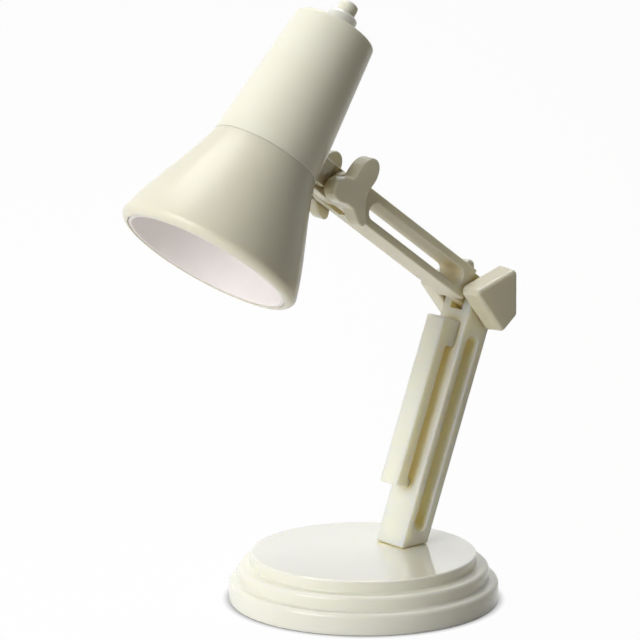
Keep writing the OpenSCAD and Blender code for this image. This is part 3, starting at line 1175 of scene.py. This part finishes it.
@dataclass
class Head:
    """Turned housing on a lug between two lobed plates."""

    seam_r: float = 10.2
    seam_edge: float = 0.06
    top_r: float = 7.7
    top_edge: float = 0.8
    top_rise: float = 0.15
    length: float = 26.8
    roof_t: float = 1.3
    neck_r: float = 8.0
    neck_h: float = 3.4
    wall: float = 1.2
    hole_r: float = 2.45
    fine_edge: float = 0.1
    inner_edge: float = 0.4
    steps: int = 9
    segments: int = 192
    head_off: float = 17.3
    lug_half: float = 2.8
    lug_z: Span = (-2.3, 2.5)
    lug_gap: float = 4.4
    lug_sink: float = 0.9
    lug_edge: float = 0.6
    lug_roll: float = 0.4
    tongue_t: float = 2.5
    tongue_root: float = -6.0
    tongue_edge: float = 0.4
    tongue_roll: float = 0.25
    eye_r: float = 3.1
    plates: SidePlates = SidePlates("head", inner=3.8, thickness=3.1, roll=0.4, draft=0.15)
    lobe_dir: Triple = (165.0, 48.0, 285.0)
    lobe_len: Triple = (5.4, 7.5, 6.6)
    lobe_power: Triple = (0.8, 1.2, 3.2)
    lobe_reach: float = 60.0
    lobe_mid: Span = (-0.8, 0.0)
    lobe_points: int = 144
    waist_r: float = 2.9

    def housing(self, pivots: Pivots) -> Piece:
        """Makes the housing, a tapered turned shell with a rounded top.

        Args:
            pivots: The lamp's pivots.

        Returns:
            The housing.
        """
        roof = self.length - self.roof_t
        fine, inner = self.fine_edge, self.inner_edge
        profile = with_edges([
            (self.neck_r, 0.0, fine), (self.seam_r, 0.0, self.seam_edge),
            (self.top_r, self.length - self.top_rise, self.top_edge), (self.hole_r, self.length, fine),
            (self.hole_r, roof, fine), (self.top_r - self.wall, roof, inner),
            (self.neck_r, self.neck_h, inner)], self.steps)
        return turned("head_housing", profile, pivots.on_axis(), self.segments)

    def lug(self, pivots: Pivots) -> Piece:
        """Makes the lug behind the housing: a block and a tongue with a round eye.

        Args:
            pivots: The lamp's pivots.

        Returns:
            The lug.
        """
        place = pivots.at_head()
        root = -self.head_off + self.neck_r + self.lug_sink
        fine, edge = self.fine_edge, self.lug_edge
        outline = rounded(oblong((root, -self.lug_gap), self.lug_z), np.array([fine, edge, edge, fine]))
        piece = plate("head_lug", outline, (-self.lug_half, self.lug_half), place, self.lug_roll)
        eye, eye_end, edge = self.eye_r, self.eye_r * ROUND_END, self.tongue_edge
        corners = oblong((self.tongue_root, eye), (-eye, eye))
        outline = rounded(corners, np.array([edge, eye_end, eye_end, edge]))
        half = self.tongue_t / 2
        blend(piece, plate("tongue", outline, (-half, half), place, self.tongue_roll), Blend.JOIN)
        return piece

    def lobed_outline(self) -> Array:
        """Works out a three-lobed outline.

        Within its reach of each lobe's direction the radius swells from the waist to the lobe's
        length along a raised cosine, to a power that makes the lobe blunt or slim. The angle to
        a lobe is wrapped to half a turn.

        Returns:
            The outline, counter-clockwise.
        """
        angle = np.linspace(0, 360, self.lobe_points, endpoint=False)
        lobes = (self.lobe_dir, self.lobe_len, self.lobe_power)
        direction, length, power = (np.array(row)[:, None] for row in lobes)
        away = np.abs((angle[None] - direction + 540) % 360 - 180)
        phase = np.radians(180 * np.minimum(away, self.lobe_reach) / self.lobe_reach)
        rise = ((1 + np.cos(phase)) / 2) ** power
        radius = self.waist_r + ((length - self.waist_r) * rise).max(0)
        turn = np.radians(angle)
        return np.array(self.lobe_mid) + radius[:, None] * np.stack([np.cos(turn), np.sin(turn)], axis=1)

    def build(self, pivots: Pivots) -> None:
        """Makes and dresses the head's pieces.

        Args:
            pivots: The lamp's pivots.
        """
        dress(self.housing(pivots), IVORY_PALE, Body.HEAD, Slot.CREAM, "lamp_housing")
        dress(self.lug(pivots), IVORY_SATIN, Body.HEAD, Slot.CREAM)
        self.plates.build(self.lobed_outline(), Place(pivots.head), Body.HEAD)
        finish_nodes(ZINC, "head_pin")
        finish_nodes(CAN, "battery_cells")
        finish_nodes(BRASS, "contact_plates")
        finish_nodes(BOARD, "led_board")
        finish_nodes(RESIN, "led")
        finish_nodes(BLACK, "head_washers", "battery_sleeve", "switch_body")


@dataclass
class PushButton:
    """Tall collar and round-topped plunger on the housing."""

    house_l: float = 26.8
    stem_r: float = 1.8
    stem_edge: float = 0.8
    flange_r: float = 2.3
    flange_z: Span = (-2.0, -1.4)
    top: float = 5.4
    bore_r: float = 1.85
    bore_edge: float = 0.1
    spigot_r: float = 2.43
    spigot_l: float = 1.3
    collar_r: float = 2.85
    collar_h: float = 3.0
    collar_edge: float = 0.7
    fine_edge: float = 0.05
    axis_r: float = 0.01
    axis_edge: float = 0.004
    axis_reach: float = 0.02
    segments: int = 96

    def build(self, pivots: Pivots) -> None:
        """Makes and dresses the collar and the button.

        Args:
            pivots: The lamp's pivots.
        """
        place = pivots.on_axis()
        base = self.house_l
        fine = self.fine_edge
        foot, crown = base - self.spigot_l, base + self.collar_h
        collar = with_edges([
            (self.bore_r, foot, fine), (self.spigot_r, foot, fine), (self.spigot_r, base, fine),
            (self.collar_r, base, fine), (self.collar_r, crown, self.collar_edge),
            (self.bore_r, crown, self.bore_edge)])
        ring = turned("button_collar_ring", collar, place, self.segments)
        dress(ring, IVORY, Body.HEAD, Slot.CREAM, "button_collar")
        low, high = (base + level for level in self.flange_z)
        top = base + self.top
        stem = with_edges([
            (self.axis_r, low, self.axis_edge), (self.flange_r, low, fine), (self.flange_r, high, fine),
            (self.stem_r, high, fine), (self.stem_r, top, self.stem_edge),
            (self.axis_r, top, self.axis_edge)])
        stem[stem[:, 0] < self.axis_reach, 0] = 0.0
        stem = np.roll(stem, -(CORNER_STEPS + 1), axis=0)
        button = turned("push_button", stem, place, self.segments)
        dress(button, IVORY_PALE, Body.BUTTON, Slot.CREAM, "switch_button")


@dataclass
class Shade:
    """Flared bell under the housing with its white inner reflector."""

    seam_r: float = 10.1
    rim_r: float = 17.198
    length: float = 22.1
    lip: float = 1.6
    lip_points: int = 12
    wall: float = 1.2
    swell: float = 0.5
    straight: float = 0.72
    curved: float = 0.28
    bell_points: int = 40
    bell_segments: int = 224
    seam_gap: float = 0.03
    roof: float = 0.9
    inside_share: float = 0.96
    neck_r: Span = (6.9, 7.95)
    neck_h: float = 3.0
    gap: float = 0.04
    rim_gap: float = 0.15
    skin: float = 0.6
    cone_top: Span = (1.35, 2.0)
    cone_hole: float = 3.2
    cone_segments: int = 192

    def bell(self, depth: Array) -> Array:
        """Works out the radius of the bell: a straight flare mixed with a soft S-curve.

        Args:
            depth: Distances below the seam.

        Returns:
            Radii at those distances.
        """
        share = depth / (self.length - self.lip)
        soft = share * share * (3 - 2 * share)
        return self.seam_r + (self.rim_r - self.seam_r) * (self.straight * share + self.curved * soft)

    def inside(self, depth: Array) -> Array:
        """Radius inside the wall, which grows evenly thicker to the rim."""
        return self.bell(depth) - self.wall - self.swell * depth / (self.length - self.lip)

    def build(self, pivots: Pivots) -> None:
        """Makes and dresses the bell and the reflector.

        Args:
            pivots: The lamp's pivots.
        """
        place = pivots.on_axis()
        end = self.length - self.lip
        depth = np.linspace(0, end, self.bell_points)
        outside = np.stack([self.bell(depth), -self.seam_gap - depth * (end - self.seam_gap) / end], axis=1)
        angle = np.linspace(0, -np.pi / 2, self.lip_points)[1:]
        arc = np.stack([np.cos(angle), np.sin(angle)], axis=1)
        rim = np.array([self.rim_r - self.lip, -end]) + self.lip * arc
        inside = np.stack([self.inside(depth), -self.roof - self.inside_share * depth], axis=1)[::-1]
        bore, neck_r = self.neck_r
        neck = np.array([[bore, -self.roof], [bore, self.neck_h], [neck_r, self.neck_h],
                         [neck_r, -self.seam_gap]])
        bell = turned("shade_bell", np.vstack([outside, rim, inside, neck]), place, self.bell_segments)
        dress(bell, IVORY_SHADE, Body.SHADE, Slot.CREAM, "shade")
        top, ceiling = self.cone_top
        low = self.length - self.rim_gap
        back_r = self.inside(depth) - self.gap
        back = np.stack([back_r, -top - depth * (low - top) / end], axis=1)
        front = np.stack([back_r - self.skin, -ceiling - depth * (low - ceiling) / end], axis=1)[::-1]
        hole = np.array([[self.cone_hole, -ceiling], [self.cone_hole, -top]])
        cone = turned("shade_reflector", np.vstack([back, front, hole]), place, self.cone_segments)
        dress(cone, PEARL_WHITE, Body.SHADE, Slot.WHITE, "reflector")


# Stage


@dataclass(frozen=True)
class SoftLight:
    """A square soft light that looks at the lamp.

    Attributes:
        name: Name of the light.
        toward: Direction from the lamp to the light.
        distance: Distance in metres.
        size: Side of the square in metres.
        watts: Power.
        colour: Linear colour.
    """

    name: str
    toward: Triple
    distance: float
    size: float
    watts: float
    colour: Colour

    def build(self, target: Vector) -> None:
        """Makes the light.

        Args:
            target: Point that it looks at, in metres.
        """
        data = bpy.data.lights.new(self.name, "AREA")
        data.size = self.size
        data.energy = self.watts
        data.color = self.colour
        light = bpy.data.objects.new(self.name, data)
        direction = Vector(self.toward).normalized()
        light.location = direction * self.distance + target
        light.rotation_euler = direction.to_track_quat("Z", "Y").to_euler()
        bpy.context.scene.collection.objects.link(light)


WINDOW = SoftLight("window", (0.08, -0.91, 0.38), distance=0.7, size=0.5, watts=3.85,
                   colour=(1.0, 0.99, 0.97))
CEILING = SoftLight("ceiling", (-0.3, 0.15, 0.95), distance=0.8, size=0.6, watts=4.3,
                    colour=(1.0, 1.0, 1.0))


@dataclass
class Studio:
    """White table, soft light from the picture's left and from above, and a long-lens camera."""

    azimuth: float = 50.21
    elevation: float = 11.12
    distance: float = 600.0
    focal_px: float = 3285.0
    target_z: float = 55.0
    centre_px: Span = (364.42, 306.98)
    sensor: float = 36.0
    clip: Span = (0.01, 20.0)
    table_half: float = 4.0
    # The table's colour for bounced light runs from white on the left to a dark warm brown on the right:
    # painted shade
    table_ends: Span = (-0.02, 0.1)
    table_colours: tuple[Colour, Colour] = ((0.9, 0.89, 0.88), (0.18, 0.14, 0.02))
    table_white: float = 0.97
    contact_shadow_reach: float = 1.5
    sky_ends: Span = (-0.8, 0.6)
    sky_colours: tuple[Colour, Colour] = ((0.95, 0.96, 1.0), (0.1, 0.08, 0.02))
    sky_strength: float = 0.08

    def basis(self) -> tuple[Array, Array, Array]:
        """Works out the camera's directions.

        Returns:
            Unit vectors to the right, up and back from the object to the camera.
        """
        turn, rise = math.radians(self.azimuth), math.radians(self.elevation)
        back = np.array([math.sin(turn) * math.cos(rise), -math.cos(turn) * math.cos(rise), math.sin(rise)])
        right = np.array([math.cos(turn), math.sin(turn), 0.0])
        return right, np.cross(back, right), back

    def camera(self) -> None:
        """Makes the camera: it stands on the fitted line of sight and is aimed at the picture's middle."""
        right, up, back = self.basis()
        off_x, off_y = ((IMAGE_PX / 2 - centre) / self.focal_px for centre in self.centre_px)
        aim = off_x * right - off_y * up - back
        data = bpy.data.cameras.new("photo_camera")
        data.sensor_width = self.sensor
        data.lens = self.focal_px * self.sensor / IMAGE_PX
        data.clip_start, data.clip_end = self.clip
        camera = bpy.data.objects.new("photo_camera", data)
        camera.location = np.array([0.0, 0.0, self.target_z]) * MM + back * self.distance * MM
        camera.rotation_euler = Vector(aim).to_track_quat("-Z", "Y").to_euler()
        bpy.context.scene.collection.objects.link(camera)
        bpy.context.scene.camera = camera

    def floor(self) -> None:
        """Makes the white table: mostly its own white for the eye, the rest takes the shadow.

        The own white dims near the lamp as a painted contact shadow, and the colour that bounces
        light darkens from left to right as painted shade.
        """
        ends = (-self.table_half, self.table_half)
        corners = np.insert(oblong(ends, ends), 2, 0.0, axis=1)
        mesh = bpy.data.meshes.new("table")
        mesh.from_pydata(corners.tolist(), [], [[0, 1, 2, 3]])
        table = bpy.data.objects.new("table", mesh)
        bpy.context.scene.collection.objects.link(table)
        material = bpy.data.materials.new("white_table")
        material.use_nodes = True
        tree = material.node_tree
        tree.nodes.clear()
        place = add_node(tree, "ShaderNodeTexCoord").outputs["Object"]
        diffuse = add_node(tree, "ShaderNodeBsdfDiffuse")
        colour = self.across(tree, place, self.table_ends, self.table_colours)
        tree.links.new(colour, diffuse.inputs["Color"])
        own = add_node(tree, "ShaderNodeEmission")
        # Painted contact shadow: the table's own white dims where the lamp stands close
        contact = add_node(tree, "ShaderNodeAmbientOcclusion", {"Distance": self.contact_shadow_reach * MM})
        tree.links.new(contact.outputs["AO"], own.inputs["Strength"])
        share = add_node(tree, "ShaderNodeMath", {1: self.table_white})
        share.operation = "MULTIPLY"
        tree.links.new(self.seen_rays(tree), share.inputs[0])
        out = add_node(tree, "ShaderNodeOutputMaterial")
        self.mixed(tree, share.outputs["Value"], diffuse.outputs["BSDF"], own.outputs["Emission"], out)
        mesh.materials.append(material)

    def world(self) -> None:
        """Makes the surroundings: white to the eye, soft light that is cooler left and warmer right."""
        world = bpy.data.worlds.new("studio")
        bpy.context.scene.world = world
        world.use_nodes = True
        tree = world.node_tree
        tree.nodes.clear()
        place = add_node(tree, "ShaderNodeTexCoord").outputs["Generated"]
        light = add_node(tree, "ShaderNodeBackground", {"Strength": self.sky_strength})
        colour = self.across(tree, place, self.sky_ends, self.sky_colours)
        tree.links.new(colour, light.inputs["Color"])
        white = add_node(tree, "ShaderNodeBackground", {"Color": (1.0, 1.0, 1.0, 1.0)})
        out = add_node(tree, "ShaderNodeOutputWorld")
        self.mixed(tree, self.seen_rays(tree), light.outputs["Background"], white.outputs["Background"], out)

    @staticmethod
    def mixed(tree: Tree, share: Socket, first: Socket, second: Socket, out: bpy.types.Node) -> None:
        """Mixes two shaders into an output.

        Args:
            tree: Node tree to add to.
            share: Share of the second shader.
            first: First shader.
            second: Second shader.
            out: Output node.
        """
        mix = add_node(tree, "ShaderNodeMixShader")
        for number, source in enumerate((share, first, second)):
            tree.links.new(source, mix.inputs[number])
        tree.links.new(mix.outputs["Shader"], out.inputs["Surface"])

    @staticmethod
    def seen_rays(tree: Tree) -> Socket:
        """Adds up the rays that show the background: straight, mirrored or through something clear.

        Args:
            tree: Node tree to add to.

        Returns:
            A socket that is 1 for those rays.
        """
        path = add_node(tree, "ShaderNodeLightPath")
        total = path.outputs["Is Camera Ray"]
        for other in ("Is Glossy Ray", "Is Transmission Ray"):
            add = add_node(tree, "ShaderNodeMath")
            add.operation = "ADD"
            add.use_clamp = True
            tree.links.new(total, add.inputs[0])
            tree.links.new(path.outputs[other], add.inputs[1])
            total = add.outputs["Value"]
        return total

    def across(self, tree: Tree, place: Socket, ends: Span, colours: tuple[Colour, Colour]) -> Socket:
        """Adds a colour that changes from the picture's left to its right.

        Args:
            tree: Node tree to add to.
            place: Socket with a place or a direction.
            ends: Where the change starts, to the left, and where it ends.
            colours: Linear colours at those ends.

        Returns:
            The colour.
        """
        side = add_node(tree, "ShaderNodeVectorMath", {1: tuple(self.basis()[0])})
        side.operation = "DOT_PRODUCT"
        tree.links.new(place, side.inputs[0])
        return ramp(tree, ranged(tree, side.outputs["Value"], ends), colours)

    def build(self) -> None:
        """Sets up the camera, the table, the surroundings and the lights."""
        bpy.context.scene.view_settings.view_transform = "Standard"
        self.camera()
        self.floor()
        self.world()
        for light in (WINDOW, CEILING):
            light.build(Vector((0.0, 0.0, self.target_z * MM)))


def main() -> None:
    """Builds the stage and the lamp."""
    logging.basicConfig(level=logging.INFO, format="%(name)s: %(message)s")
    pivots = Pivots.from_joints(frame["joints"])
    Studio().build()
    for assembly in (StandBase(), LowerArm(), UpperArm(), Head(), PushButton(), Shade()):
        assembly.build(pivots)


if __name__ == "__main__":
    main()
